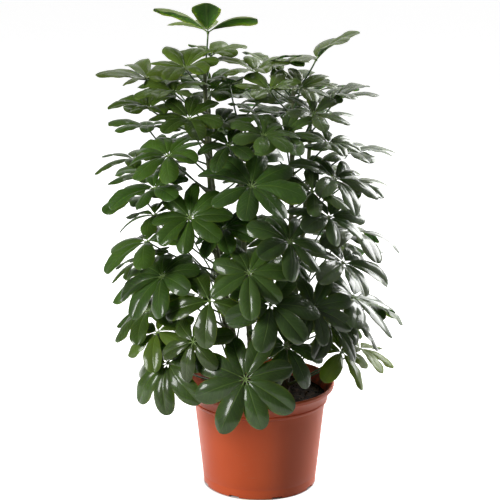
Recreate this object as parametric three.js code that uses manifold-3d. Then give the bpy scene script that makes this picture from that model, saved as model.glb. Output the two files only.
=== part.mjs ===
// A bushy umbrella plant in a round plastic nursery pot. Millimetres, +Z up.
// The origin is the centre of the pot's underside, and the front of the plant faces -Y.
// Five leafy stems stand in plain holes in the soil. Each leaf is a hub on a long leaf stalk, with
// narrow leaflets spread around it like the ribs of an umbrella.

import * as THREE from 'three';
import { mergeVertices } from 'three/addons/utils/BufferGeometryUtils.js';
import Module from 'manifold-3d';

const wasm = await Module();
wasm.setup();

// ---- Driving dimensions -------------------------------------------------------------------------

const GAP = 0.3; // clear air between pieces that rest on each other

const POT = {
  height: 148,
  rimRadius: 105,
  bandRadius: 95.5, // the plain band under the rim
  bodyRadius: 92, // the wall just under the band's step
  baseRadius: 79,
  wall: 2,
  floor: 3,
  lip: 5.5, // height of the rolled lip at the very top
  bandFoot: 121, // height of the step below the band
  sides: 32,
};

const DRAIN = { count: 8, width: 15, depth: 6, height: 3.4 }; // slots under the pot's bottom edge

const SOIL = { level: 130, crown: 3, dip: 4 }; // height at the wall, rise inside, dip in the middle

const STEM = {
  sides: 6,
  rings: 6,
  footRadius: 5.2,
  tipRadius: 2.6,
  buried: 62, // depth of the stem's foot in the soil
  leanFrom: 134, // height where a stem starts to lean outward
};

// Where each stem leaves the soil, where its tip is, and how tall it stands.
const STEMS = {
  left: { foot: [-34, -14], tip: [-74, -12], top: 590 },
  centre: { foot: [-6, -44], tip: [-26, -52], top: 520 },
  right: { foot: [36, -16], tip: [44, -20], top: 560 },
  back_left: { foot: [-26, 34], tip: [-72, 70], top: 545 },
  back_right: { foot: [32, 32], tip: [70, 66], top: 535 },
};

const LEAF = {
  hubRadius: 3,
  hubRise: 2.2,
  hubDepth: 3,
  ribHeight: 1.4, // thickness of a leaflet at its midrib
  halfWidth: 0.235, // of a leaflet's length
  stalkRadius: 1.45,
  stalkSides: 3,
};

// A leaflet's outline: how far along it, how wide there (1 is the widest), then its blunt tip.
const OUTLINE = { waist: [0.46, 0.78], shoulder: [0.79, 1], tip: 0.48 };

// The front leaves stand where the plant shows them to a viewer at this distance and height.
const EYE = { back: 2400, up: 974 };

// Each front leaf: across and up as seen against the pot's axis, how far it stands forward of
// that axis, its reach from hub to leaflet tip, and what sets it apart from the others. A spin of 0
// has one leaflet point straight out along the leaf stalk, which is down on a leaf that faces front.
const FRONT_LEAVES = {
  centre: [
    [-53, 513, 60, 58],
    [-45, 525, 40, 58],
    [-65, 560, 15, 56],
    [-35, 575, -5, 60],
    [-20, 550, 25, 58],
    [-12, 428, 120, 74, { count: 8, spin: 27 }],
    [0, 482, 85, 66],
    [-40, 475, 70, 58],
    [-15, 305, 145, 62, { count: 7, spin: -4 }],
    [-33, 376, 85, 60],
    [40, 350, 115, 62, { count: 7, spin: -30 }],
    [15, 260, 150, 68, { count: 7, spin: -20, broad: 1.1 }],
    [-20, 150, 165, 77, { count: 8, spin: 20 }],
    [35, 200, 130, 70],
  ],
  right: [
    [76, 603, 30, 76, { tilt: -18, count: 6, spin: 25, rise: 0.6, droop: 0.4 }],
    [-5, 585, 35, 60],
    [15, 590, -10, 58],
    [50, 575, 30, 58],
    [60, 550, 55, 62],
    [15, 550, 60, 58],
    [55, 525, 80, 58],
    [100, 545, 10, 60],
    [80, 510, 40, 60],
    [35, 500, 95, 60],
    [100, 440, 65, 72],
    [120, 465, 10, 76],
    [80, 425, 100, 58],
    [95, 385, 85, 60],
    [130, 365, 20, 74],
    [115, 320, 75, 72],
    [130, 270, 55, 76],
    [75, 255, 115, 58],
    [95, 235, 90, 60],
    [125, 240, 30, 58],
    [115, 190, 80, 60],
    [140, 195, 10, 60],
  ],
  left: [
    [-70, 640, 15, 84, { tilt: -14, count: 6, spin: 180, rise: 0.78, droop: 0.5 }],
    [-100, 590, 40, 60],
    [-150, 575, 15, 72],
    [-120, 570, 65, 58],
    [-100, 535, 80, 62],
    [-140, 540, 40, 64],
    [-65, 600, -20, 60],
    [-110, 500, 35, 58],
    [-150, 505, 0, 62],
    [-125, 470, 75, 62],
    [-165, 470, 25, 64],
    [-145, 425, 65, 60],
    [-160, 415, 5, 62],
    [-95, 375, 110, 64, { count: 8, spin: 30 }],
    [-145, 390, 35, 60],
    [-155, 350, 60, 74],
    [-135, 300, 95, 66, { count: 8, spin: -7 }],
    [-165, 325, 20, 56],
    [-155, 250, 50, 68],
    [-145, 220, 90, 60],
    [-125, 175, 110, 70, { count: 8, spin: -10 }],
    [-70, 265, 135, 68, { count: 5, spin: 34, broad: 1.18 }],
    [-70, 215, 128, 70, { count: 6, spin: -24, broad: 1.05 }],
  ],
};

// The leaves behind follow each stem upward, a golden turn apart. Turns are in degrees from +X,
// and spread is the arc that they keep to.
const REAR_LEAVES = [
  { stem: 'back_left', count: 16, low: 195, high: 590, reachOut: [125, 58], from: 20, spread: 360 },
  { stem: 'back_right', count: 14, low: 185, high: 575, reachOut: [118, 46], from: 60, spread: 180 },
  { stem: 'left', count: 4, low: 245, high: 575, reachOut: [105, 55], from: 100, spread: 100 },
  { stem: 'right', count: 4, low: 235, high: 560, reachOut: [125, 55], from: 0, spread: 90 },
];
const REAR_REACH = 70;

const POSTURE = {
  low: 190, // leaves at this height and below hang the most
  high: 600,
  frontTilt: [62, 16], // degrees that a leaf leans outward from level: low down, and at the top
  sideTilt: [27, 0], // the same for a leaf that doesn't face the front
  stalkPitch: 0.85, // rise of a leaf stalk for each unit that it reaches out
  leastRise: 34,
};

// How much one leaf, or one leaflet, differs from the next: degrees of tilt, leaflets on a leaf,
// and then shares of a leaflet's breadth, pitch, length and rise.
const VARIETY = { tilt: 10, least: 6, counts: 2.6, broad: 0.12, turn: 0.12, length: 0.22, lift: 0.2 };
const MOST_LEAFLETS = 8;

// A leaf that would touch another is moved a little, this many times, and is then left out.
// Turns come first: each place is tried at several turns before the leaf moves further.
const NUDGE = { tries: 180, turns: 6, step: 1.5, twist: 8, tilt: 4, pitch: 0.4, shrink: 0.01 };

const COLOURS = { pot: 0xb4552f, soil: 0x1f1613, leaves: 0x2f5a26 };

// ---- Small tools --------------------------------------------------------------------------------

const UP = new THREE.Vector3(0, 0, 1);
const GOLDEN_TURN = Math.PI * (3 - Math.sqrt(5));
const radians = THREE.MathUtils.degToRad;

function clamp(value, low, high) {
  return Math.min(Math.max(value, low), high);
}

/** Returns the next number from 0 to 1, the same on every run. */
function seededRandom(seed) {
  let state = seed;
  return () => {
    state = (state * 16807) % 2147483647;
    return state / 2147483647;
  };
}

/** Turns a closed three.js geometry into a solid that can be joined and cut. */
function solidOf(geometry) {
  const bare = geometry.clone();
  bare.deleteAttribute('normal');
  bare.deleteAttribute('uv');
  const welded = mergeVertices(bare, 1e-4);
  return new wasm.Manifold(new wasm.Mesh({
    numProp: 3,
    vertProperties: new Float32Array(welded.attributes.position.array),
    triVerts: new Uint32Array(welded.index.array),
  }));
}

/** Turns a solid back into a three.js geometry. */
function geometryOf(solid) {
  const mesh = solid.getMesh();
  const geometry = new THREE.BufferGeometry();
  geometry.setAttribute('position', new THREE.BufferAttribute(mesh.vertProperties, 3));
  geometry.setIndex(new THREE.BufferAttribute(mesh.triVerts, 1));
  geometry.computeVertexNormals();
  return geometry;
}

/** Builds a geometry from a list of points and a list of triangles. */
function facetedGeometry(points, triangles) {
  const geometry = new THREE.BufferGeometry();
  const places = points.flatMap((point) => point.toArray());
  geometry.setAttribute('position', new THREE.Float32BufferAttribute(places, 3));
  geometry.setIndex(triangles.flat());
  return geometry;
}

/** Turns a profile of [radius, height] about the upright axis. */
function turned(profile, sides) {
  const points = profile.map(([radius, height]) => new THREE.Vector2(radius, height));
  return new THREE.LatheGeometry(points, sides).rotateX(Math.PI / 2);
}

function mesh(name, solid, colour, roughness) {
  const material = new THREE.MeshStandardMaterial({ color: colour, roughness, metalness: 0 });
  const piece = new THREE.Mesh(geometryOf(solid), material);
  piece.name = name;
  return piece;
}

// ---- Pot and soil -------------------------------------------------------------------------------

/** The radius of the pot's outer wall below the band. */
function wallRadius(height) {
  return THREE.MathUtils.lerp(POT.baseRadius, POT.bodyRadius, height / POT.bandFoot);
}

/** A tapered pot with a flared rim, a rolled lip and a step, and drain slots under its edge. */
function potSolid() {
  const { height, rimRadius, bandRadius, baseRadius, wall, floor, lip, bandFoot, sides } = POT;
  const edge = 2; // the small bevel round the bottom
  const outside = [
    [0, 0],
    [baseRadius - edge, 0],
    [wallRadius(edge), edge],
    [wallRadius(bandFoot), bandFoot],
    [bandRadius, bandFoot + 2.2],
    [bandRadius + 1.3, bandFoot + 11],
    [rimRadius - 3.4, height - lip - 2.5],
    [rimRadius, height - lip + 1],
    [rimRadius - 0.3, height - 1.2],
    [rimRadius - 1.8, height],
  ];
  const inside = [
    [rimRadius - 3.8, height - 0.8],
    [rimRadius - 5.4, height - lip - 2],
    [bandRadius - wall, bandFoot + 10],
    [wallRadius(bandFoot) - wall, bandFoot - 1],
    [wallRadius(floor) - wall, floor],
    [0, floor],
  ];
  let pot = solidOf(turned([...outside, ...inside], sides));
  for (let i = 0; i < DRAIN.count; i += 1) {
    const slot = new THREE.BoxGeometry(2 * DRAIN.depth, DRAIN.width, 2 * DRAIN.height);
    slot.translate(baseRadius, 0, 0);
    slot.rotateZ(radians(-72) + (i * 2 * Math.PI) / DRAIN.count);
    pot = pot.subtract(solidOf(slot));
  }
  return pot;
}

/** The soil fills the pot to below the rim and has a plain hole for each stem. */
function soilSolid() {
  const { wall, floor, bandFoot, bandRadius, sides } = POT;
  const clearance = GAP / Math.cos(Math.PI / sides);
  const bottom = floor + GAP;
  let soil = solidOf(turned([
    [0, bottom],
    [wallRadius(bottom) - wall - clearance, bottom],
    [wallRadius(bandFoot) - wall - clearance, bandFoot - 1],
    [bandRadius - wall - clearance - 0.4, SOIL.level - 1],
    [bandRadius - 9, SOIL.level + 0.4],
    [62, SOIL.level + SOIL.crown],
    [30, SOIL.level + SOIL.crown - 1],
    [0, SOIL.level + SOIL.crown - SOIL.dip],
  ], sides));
  for (const stem of Object.values(STEMS)) {
    const radius = STEM.footRadius + GAP / Math.cos(Math.PI / STEM.sides);
    const depth = STEM.buried + GAP;
    const hole = new THREE.CylinderGeometry(radius, radius, depth + 20, STEM.sides);
    hole.rotateX(Math.PI / 2);
    hole.translate(stem.foot[0], stem.foot[1], STEM.leanFrom - depth + (depth + 20) / 2);
    soil = soil.subtract(solidOf(hole));
  }
  return soil;
}

// ---- Stems --------------------------------------------------------------------------------------

/** The middle of a stem at a height: upright in the soil, then leaning out and straightening. */
function stemAt(stem, height) {
  const share = clamp((height - STEM.leanFrom) / (stem.top - STEM.leanFrom), 0, 1);
  const lean = Math.sin((share * Math.PI) / 2);
  return new THREE.Vector3(
    stem.foot[0] + (stem.tip[0] - stem.foot[0]) * lean,
    stem.foot[1] + (stem.tip[1] - stem.foot[1]) * lean,
    height,
  );
}

/** A slim tapered stem with level rings of points, closed at both ends. */
function stemSolid(stem) {
  const heights = [STEM.leanFrom - STEM.buried];
  for (let i = 0; i <= STEM.rings; i += 1) {
    heights.push(THREE.MathUtils.lerp(STEM.leanFrom, stem.top, i / STEM.rings));
  }
  const points = [];
  for (const height of heights) {
    const share = clamp((height - STEM.leanFrom) / (stem.top - STEM.leanFrom), 0, 1);
    const radius = THREE.MathUtils.lerp(STEM.footRadius, STEM.tipRadius, share);
    for (let side = 0; side < STEM.sides; side += 1) {
      const turn = (side * 2 * Math.PI) / STEM.sides;
      const offset = new THREE.Vector3(Math.sin(turn), Math.cos(turn), 0).multiplyScalar(radius);
      points.push(stemAt(stem, height).add(offset));
    }
  }
  const triangles = [];
  for (let ring = 0; ring < heights.length - 1; ring += 1) {
    for (let side = 0; side < STEM.sides; side += 1) {
      const a = ring * STEM.sides + side;
      const b = ring * STEM.sides + ((side + 1) % STEM.sides);
      triangles.push([a, a + STEM.sides, b], [b, a + STEM.sides, b + STEM.sides]);
    }
  }
  const last = (heights.length - 1) * STEM.sides;
  for (let side = 1; side < STEM.sides - 1; side += 1) {
    triangles.push([0, side, side + 1], [last, last + side + 1, last + side]);
  }
  return solidOf(facetedGeometry(points, triangles));
}

// ---- Leaves -------------------------------------------------------------------------------------

/** Where a front leaf's hub stands: on the line of sight from the eye through its listed place. */
function seenPlace(across, up, forward) {
  const eye = new THREE.Vector3(0, -EYE.back, EYE.up);
  const onAxis = new THREE.Vector3(across, 0, up);
  return eye.lerp(onAxis, (EYE.back - forward) / EYE.back);
}

/** Lists every leaf's hub, stem and reach: the front ones first, from the top down. */
function leafPlaces() {
  const places = [];
  for (const [stem, rows] of Object.entries(FRONT_LEAVES)) {
    for (const [across, up, forward, reach, own] of rows) {
      places.push({ stem, reach, own, pitch: POSTURE.stalkPitch, hub: seenPlace(across, up, forward) });
    }
  }
  for (const group of REAR_LEAVES) {
    for (let i = 0; i < group.count; i += 1) {
      const share = (i + 0.5) / group.count;
      const height = THREE.MathUtils.lerp(group.low, group.high, share);
      const out = THREE.MathUtils.lerp(group.reachOut[0], group.reachOut[1], share);
      const turn = radians(group.from + ((i * 137.508) % group.spread));
      const hub = stemAt(STEMS[group.stem], height);
      hub.add(new THREE.Vector3(Math.cos(turn), Math.sin(turn), 0).multiplyScalar(out));
      places.push({ stem: group.stem, reach: REAR_REACH, pitch: POSTURE.stalkPitch, hub });
    }
  }
  return places;
}

/** Adds to a place everything that makes one leaf unlike the next. */
function grownLeaf(place, random) {
  const youth = clamp((place.hub.z - POSTURE.low) / (POSTURE.high - POSTURE.low), 0, 1);
  const facing = Math.max(0, -stalkDirection(place).y);
  const tilts = POSTURE.frontTilt.map((tilt, i) => THREE.MathUtils.lerp(POSTURE.sideTilt[i], tilt, facing));
  const leaf = {
    ...place,
    tilt: THREE.MathUtils.lerp(tilts[0], tilts[1], youth) + VARIETY.tilt * (random() - 0.5),
    count: VARIETY.least + Math.floor(VARIETY.counts * random()),
    spin: 360 * random(),
    broad: 1 + VARIETY.broad * (random() - 0.5),
    rise: 0.22 + 0.12 * random() + 0.45 * youth * youth,
    droop: 0.42 + 0.12 * random(),
    leaflets: [],
    ...place.own,
  };
  for (let i = 0; i < MOST_LEAFLETS; i += 1) {
    leaf.leaflets.push({
      turn: VARIETY.turn * (random() - 0.5),
      length: 0.98 + VARIETY.length * (random() - 0.5),
      lift: VARIETY.lift * (random() - 0.5),
    });
  }
  return leaf;
}

/** The same leaf moved, turned and shrunk a little, more with each try. */
function nudgedLeaf(leaf, attempt) {
  const ring = Math.floor(attempt / NUDGE.turns);
  const turn = ring * GOLDEN_TURN;
  const shift = new THREE.Vector3(0.6 * Math.cos(turn), Math.sin(turn), 0.7 * Math.sin(2.3 * turn));
  return {
    ...leaf,
    hub: leaf.hub.clone().addScaledVector(shift, NUDGE.step * ring),
    tilt: leaf.tilt + NUDGE.tilt * Math.sin(3.1 * attempt),
    spin: leaf.spin + NUDGE.twist * (attempt % NUDGE.turns),
    pitch: leaf.pitch * (1 + NUDGE.pitch * Math.sin(1.7 * attempt)),
    reach: leaf.reach * (1 - NUDGE.shrink * ring),
  };
}

/** Where a leaf's stalk grows from its stem: lower down than the hub, the further the hub is out. */
function stalkFoot(leaf) {
  const stem = STEMS[leaf.stem];
  let height = leaf.hub.z;
  for (let pass = 0; pass < 4; pass += 1) {
    const out = leaf.hub.clone().sub(stemAt(stem, height)).setZ(0).length();
    const rise = Math.max(leaf.pitch * out, POSTURE.leastRise);
    height = clamp(leaf.hub.z - rise, SOIL.level + 14, stem.top - 4);
  }
  return stemAt(stem, height);
}

/** The level direction in which a leaf's stalk reaches out. */
function stalkDirection(leaf) {
  const out = leaf.hub.clone().sub(stalkFoot(leaf)).setZ(0);
  if (out.length() < 8) {
    out.set(0, -1, 0);
  }
  return out.normalize();
}

/** A leaf's own axes: out along its stalk, across, and up out of its face. */
function leafAxes(leaf) {
  const out = stalkDirection(leaf);
  const tilt = radians(leaf.tilt);
  const face = UP.clone().multiplyScalar(Math.cos(tilt)).addScaledVector(out, Math.sin(tilt));
  const across = face.clone().cross(out).normalize();
  return { face, across, out: across.clone().cross(face) };
}

/** One leaf blade: leaflets round a hub, each arched, with a raised rib and a flat underside. */
function bladeSolid(leaf) {
  const axes = leafAxes(leaf);
  const points = [];
  const triangles = [];
  const add = (along, aside, lift, turn) => {
    const x = along * Math.cos(turn) - aside * Math.sin(turn);
    const y = along * Math.sin(turn) + aside * Math.cos(turn);
    points.push(leaf.hub.clone()
      .addScaledVector(axes.out, x)
      .addScaledVector(axes.across, y)
      .addScaledVector(axes.face, lift));
    return points.length - 1;
  };
  const crown = add(0, 0, LEAF.hubRise, 0);
  const nadir = add(0, 0, -LEAF.hubDepth, 0);
  const pitch = (2 * Math.PI) / leaf.count;
  const spin = radians(leaf.spin);
  const ring = [];
  for (let i = 0; i < leaf.count; i += 1) {
    ring.push(add(LEAF.hubRadius, 0, 0, spin + (i - 0.5) * pitch));
  }
  for (let i = 0; i < leaf.count; i += 1) {
    const { turn, length, lift } = leaf.leaflets[i];
    const angle = spin + i * pitch + turn;
    const inward = 0.5 - 0.5 * Math.cos(angle); // 1 where a leaflet points back at the stem
    const long = leaf.reach * length * (1 - 0.14 * inward);
    const height = (along) => long * ((leaf.rise + lift) * along - leaf.droop * along * along);
    const width = (share) => LEAF.halfWidth * leaf.broad * long * share;
    const [waist, waistWidth] = OUTLINE.waist;
    const [shoulder, shoulderWidth] = OUTLINE.shoulder;
    const v = ring[i];
    const w = ring[(i + 1) % leaf.count];
    const r1 = add(waist * long, -width(waistWidth), height(waist), angle);
    const l1 = add(waist * long, width(waistWidth), height(waist), angle);
    const r2 = add(shoulder * long, -width(shoulderWidth), height(shoulder), angle);
    const l2 = add(shoulder * long, width(shoulderWidth), height(shoulder), angle);
    const r3 = add(long, -width(OUTLINE.tip), height(1), angle);
    const l3 = add(long, width(OUTLINE.tip), height(1), angle);
    const m1 = add(waist * long, 0, height(waist) + LEAF.ribHeight, angle);
    const m2 = add(shoulder * long, 0, height(shoulder) + LEAF.ribHeight, angle);
    triangles.push(
      [crown, v, m1], [crown, m1, w], [v, r1, m1], [w, m1, l1],
      [r1, r2, m2], [r1, m2, m1], [m1, m2, l2], [m1, l2, l1],
      [r2, r3, m2], [m2, r3, l3], [m2, l3, l2],
      [nadir, w, v], [v, w, l1], [v, l1, r1], [r1, l1, l2], [r1, l2, r2], [r2, l2, l3], [r2, l3, r3],
    );
  }
  return solidOf(facetedGeometry(points, triangles));
}

/** The leaf stalk: a thin tube from inside the stem, rising in a shallow bow to the hub. */
function stalkSolid(leaf) {
  const foot = stalkFoot(leaf);
  const end = leaf.hub.clone().addScaledVector(leafAxes(leaf).face, 0.3);
  const bow = foot.clone().lerp(end, 0.55).addScaledVector(UP, -0.06 * foot.distanceTo(end));
  const path = new THREE.QuadraticBezierCurve3(foot, bow, end);
  const section = new THREE.Shape();
  for (let side = 0; side < LEAF.stalkSides; side += 1) {
    const turn = (side * 2 * Math.PI) / LEAF.stalkSides;
    const corner = [LEAF.stalkRadius * Math.cos(turn), LEAF.stalkRadius * Math.sin(turn)];
    if (side === 0) {
      section.moveTo(...corner);
    } else {
      section.lineTo(...corner);
    }
  }
  return solidOf(new THREE.ExtrudeGeometry(section, { steps: 2, extrudePath: path, bevelEnabled: false }));
}

/** Says whether two solids keep the gap between them. */
function areClear(one, other) {
  const a = one.box;
  const b = other.box;
  for (let axis = 0; axis < 3; axis += 1) {
    if (a.min[axis] > b.max[axis] + GAP || b.min[axis] > a.max[axis] + GAP) {
      return true;
    }
  }
  return one.solid.minGap(other.solid, 2 * GAP) >= GAP;
}

function boxed(solid, extra) {
  return { solid, box: solid.boundingBox(), ...extra };
}

/** Says whether a blade and its stalk clear the pot, the soil, every stem and every leaf so far. */
function leafFits(blade, stalk, stem, fixed, grown) {
  for (const thing of fixed) {
    const own = thing.stem === stem;
    if (!areClear(blade, thing) || (!own && !areClear(stalk, thing))) {
      return false;
    }
  }
  for (const leaf of grown) {
    const own = leaf.stem === stem;
    if (!areClear(blade, leaf.blade) || !areClear(blade, leaf.stalk)
      || !areClear(stalk, leaf.blade) || (!own && !areClear(stalk, leaf.stalk))) {
      return false;
    }
  }
  return true;
}

/** Grows every leaf in turn, moving each one clear of what already stands. */
function grownLeaves(fixed) {
  const random = seededRandom(96);
  const grown = [];
  for (const place of leafPlaces()) {
    const leaf = grownLeaf(place, random);
    for (let attempt = 0; attempt < NUDGE.tries; attempt += 1) {
      const candidate = nudgedLeaf(leaf, attempt);
      const blade = boxed(bladeSolid(candidate));
      const stalk = boxed(stalkSolid(candidate));
      if (leafFits(blade, stalk, leaf.stem, fixed, grown)) {
        grown.push({ stem: leaf.stem, blade, stalk });
        break;
      }
    }
  }
  return grown;
}

// ---- The plant ----------------------------------------------------------------------------------

const group = new THREE.Group();
const pot = potSolid();
const soil = soilSolid();
group.add(mesh('pot', pot, COLOURS.pot, 0.55));
group.add(mesh('soil', soil, COLOURS.soil, 0.95));

const trunks = Object.entries(STEMS).map(([stem, shape]) => boxed(stemSolid(shape), { stem }));
const leaves = grownLeaves([boxed(pot), boxed(soil), ...trunks]);
for (const trunk of trunks) {
  const own = leaves.filter((leaf) => leaf.stem === trunk.stem);
  const pieces = [trunk.solid, ...own.flatMap((leaf) => [leaf.blade.solid, leaf.stalk.solid])];
  group.add(mesh(`stem_${trunk.stem}`, wasm.Manifold.union(pieces), COLOURS.leaves, 0.35));
}

export default group;
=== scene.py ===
"""A bushy umbrella plant in a plastic nursery pot, dressed around its fixed frame.

Every leaf is read off the frame's own solids: its hub, the line of each leaflet and its stalk.
All lengths are in metres, +Z is up, and the front of the plant faces -Y.
"""

import logging
import math
import random
from dataclasses import dataclass, field, replace
from enum import Enum
from functools import cache
from itertools import combinations
from typing import Callable, Iterable, Optional, Sequence, Union

import bpy
from mathutils import Euler, Matrix, Vector, noise


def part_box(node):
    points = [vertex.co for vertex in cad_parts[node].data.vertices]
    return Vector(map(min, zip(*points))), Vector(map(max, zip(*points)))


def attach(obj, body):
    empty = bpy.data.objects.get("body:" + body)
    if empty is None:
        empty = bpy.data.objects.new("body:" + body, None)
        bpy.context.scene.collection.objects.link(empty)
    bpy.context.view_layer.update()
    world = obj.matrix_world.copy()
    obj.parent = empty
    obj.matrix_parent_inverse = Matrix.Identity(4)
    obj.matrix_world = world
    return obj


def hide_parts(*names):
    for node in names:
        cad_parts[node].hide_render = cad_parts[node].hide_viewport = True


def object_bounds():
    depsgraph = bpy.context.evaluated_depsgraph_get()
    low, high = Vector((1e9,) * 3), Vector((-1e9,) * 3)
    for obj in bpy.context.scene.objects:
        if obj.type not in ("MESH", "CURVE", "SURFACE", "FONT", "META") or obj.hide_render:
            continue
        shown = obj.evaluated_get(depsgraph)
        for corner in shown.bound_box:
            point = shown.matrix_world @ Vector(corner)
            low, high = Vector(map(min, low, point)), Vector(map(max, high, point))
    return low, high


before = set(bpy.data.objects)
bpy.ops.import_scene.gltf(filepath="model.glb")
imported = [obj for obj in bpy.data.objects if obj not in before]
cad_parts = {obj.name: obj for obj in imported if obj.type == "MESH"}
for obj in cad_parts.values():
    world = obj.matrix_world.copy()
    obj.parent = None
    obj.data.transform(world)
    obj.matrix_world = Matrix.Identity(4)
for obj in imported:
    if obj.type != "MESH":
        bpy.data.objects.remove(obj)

CAD_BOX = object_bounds()
MM = 0.001
UP = Vector((0.0, 0.0, 1.0))
Triple = tuple[float, float, float]
log = logging.getLogger("plant")


def share_of(value: float, low: float, high: float) -> float:
    """How far a value has come from low to high, held between 0 and 1."""
    return min(max((value - low) / (high - low), 0.0), 1.0)


def turns(count: int) -> list[float]:
    """Evenly spaced angles round a full turn, from 0."""
    return [2 * math.pi * i / count for i in range(count)]


def add_thing(name: str, data: bpy.types.ID) -> bpy.types.Object:
    """Adds a mesh, a light or a camera to the scene.

    Args:
        name: The new object's name.
        data: What it shows.

    Returns:
        The object.
    """
    thing = bpy.data.objects.new(name, data)
    bpy.context.scene.collection.objects.link(thing)
    return thing


# ---- Shader sheets ----


class Socket:
    """A shader socket that takes part in Python arithmetic. Each operator adds a Math node."""

    def __init__(self, sheet: "Sheet", socket: bpy.types.NodeSocket) -> None:
        """Keeps the output socket to wrap and the sheet that new nodes are added to."""
        self.sheet = sheet
        self.socket = socket

    def _math(self, operation: str, *values: "Number") -> "Socket":
        """Adds one Math node to the sheet and returns its output."""
        return self.sheet.node("ShaderNodeMath", {"operation": operation}, dict(enumerate(values)))

    def __add__(self, other: "Number") -> "Socket":
        """Sum."""
        return self._math("ADD", self, other)

    def __sub__(self, other: "Number") -> "Socket":
        """Difference."""
        return self._math("SUBTRACT", self, other)

    def __rsub__(self, other: "Number") -> "Socket":
        """Reflected difference, so that 1 - mask works."""
        return self._math("SUBTRACT", other, self)

    def __mul__(self, other: "Number") -> "Socket":
        """Product."""
        return self._math("MULTIPLY", self, other)

    def __truediv__(self, other: "Number") -> "Socket":
        """Quotient."""
        return self._math("DIVIDE", self, other)

    def __rtruediv__(self, other: "Number") -> "Socket":
        """Reflected quotient."""
        return self._math("DIVIDE", other, self)

    __radd__ = __add__
    __rmul__ = __mul__

    def absolute(self) -> "Socket":
        """The size of a value, whatever its sign."""
        return self._math("ABSOLUTE", self)

    def zigzag(self, width: float) -> "Socket":
        """A wave that rises and falls between 0 and width."""
        return self._math("PINGPONG", self, width)

    def ramp(self, low: float, high: float, first: float = 0.0, last: float = 1.0) -> "Socket":
        """Smoothly maps low..high to first..last, and holds the ends.

        Args:
            low: The value that gives first.
            high: The value that gives last.
            first: The result at and below low.
            last: The result at and above high.

        Returns:
            The mapped value.
        """
        settings = {"interpolation_type": "SMOOTHSTEP"}
        values = {"Value": self, "From Min": low, "From Max": high, "To Min": first, "To Max": last}
        return self.sheet.node("ShaderNodeMapRange", settings, values)


Number = Union[float, Socket]
Colour = Union[Triple, Socket]


class Sheet:
    """One material's node tree, with a Principled shader at its end."""

    def __init__(self, name: str) -> None:
        """Makes a new material.

        Args:
            name: The material's name.
        """
        self.material = bpy.data.materials.new(name)
        self.material.use_nodes = True
        self.tree = self.material.node_tree
        self.shader = self.tree.nodes["Principled BSDF"]

    @classmethod
    def of_tree(cls, tree: bpy.types.NodeTree) -> "Sheet":
        """Wraps the world's node tree, which has no material.

        Args:
            tree: The node tree.

        Returns:
            A sheet whose nodes go into the tree.
        """
        sheet = cls.__new__(cls)
        sheet.tree = tree
        return sheet

    def feed(self, target: bpy.types.NodeSocket, value: object) -> None:
        """Links a socket to a wrapped value, or sets it to a plain one.

        Args:
            target: The input socket.
            value: A wrapped socket, a number or a colour.
        """
        if isinstance(value, Socket):
            self.tree.links.new(value.socket, target)
        elif isinstance(value, tuple) and target.type == "RGBA":
            target.default_value = (*value, 1.0)
        else:
            target.default_value = value

    def node(self, kind: str, settings: dict, inputs: dict, output: Union[int, str] = 0) -> Socket:
        """Adds a node.

        Args:
            kind: The node's type.
            settings: Its properties, set first.
            inputs: The values or links of its sockets, by name or number.
            output: Which output to return.

        Returns:
            The wrapped output socket.
        """
        node = self.tree.nodes.new(kind)
        for name, setting in settings.items():
            setattr(node, name, setting)
        for name, value in inputs.items():
            self.feed(node.inputs[name], value)
        return Socket(self, node.outputs[output])

    def vector(self, operation: str, output: str, *values: object) -> Socket:
        """Adds one Vector Math node and returns the output of this name."""
        return self.node("ShaderNodeVectorMath", {"operation": operation}, dict(enumerate(values)), output)

    def mark(self, name: str) -> Socket:
        """Reads a number that the mesh carries at each point."""
        return self.node("ShaderNodeAttribute", {"attribute_name": name}, {}, "Fac")

    def place(self) -> Socket:
        """The point's place on the piece, in metres."""
        return self.node("ShaderNodeTexCoord", {}, {}, "Object")

    def grain(self, scale: float, detail: float = 4.0, upward: float = 1.0) -> Socket:
        """Fractal noise around one half.

        Args:
            scale: Cells in a metre.
            detail: Octaves.
            upward: How much finer the pattern runs upwards than across.

        Returns:
            The noise value.
        """
        place = self.place()
        if upward != 1.0:
            place = self.vector("MULTIPLY", "Vector", place, (1.0, 1.0, upward))
        inputs = {"Vector": place, "Scale": scale, "Detail": detail, "Roughness": 0.55}
        return self.node("ShaderNodeTexNoise", {}, inputs)

    def mix(self, factor: Number, first: Colour, second: Colour) -> Socket:
        """Blends two colours: a factor of 0 gives the first and 1 the second."""
        settings = {"data_type": "RGBA", "clamp_factor": True}
        return self.node("ShaderNodeMix", settings, {0: factor, 6: first, 7: second}, 2)

    def bump(self, height: Socket, depth: float) -> None:
        """Feeds a relief of 0 to 1, so many metres deep, to the shader's normal."""
        normal = self.node("ShaderNodeBump", {}, {"Height": height, "Distance": depth, "Strength": 1.0})
        self.feed(self.shader.inputs["Normal"], normal)

    def finish(self, **values: object) -> bpy.types.Material:
        """Sets the shader's sockets and returns the material.

        Args:
            **values: Socket names with _ for each space.

        Returns:
            The finished material.
        """
        for name, value in values.items():
            words = name.replace("_", " ").title().replace("Ior", "IOR")
            self.feed(self.shader.inputs[words], value)
        return self.material


# ---- Finishes ----

LEAF_FLESH = {
    "subsurface_weight": 0.15, "subsurface_radius": (0.6, 1.0, 0.06), "subsurface_scale": 3 * MM,
}


def side_veins(along: Socket, aside: Socket, width: float) -> Socket:
    """1 on a leaflet's slanting side veins and 0 beside them. A width of 0.5 is midway between two."""
    pairs, slant = 9.0, 2.1
    return (along * pairs - aside * slant).zigzag(0.5).ramp(0.0, width, 1.0, 0.0)


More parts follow.
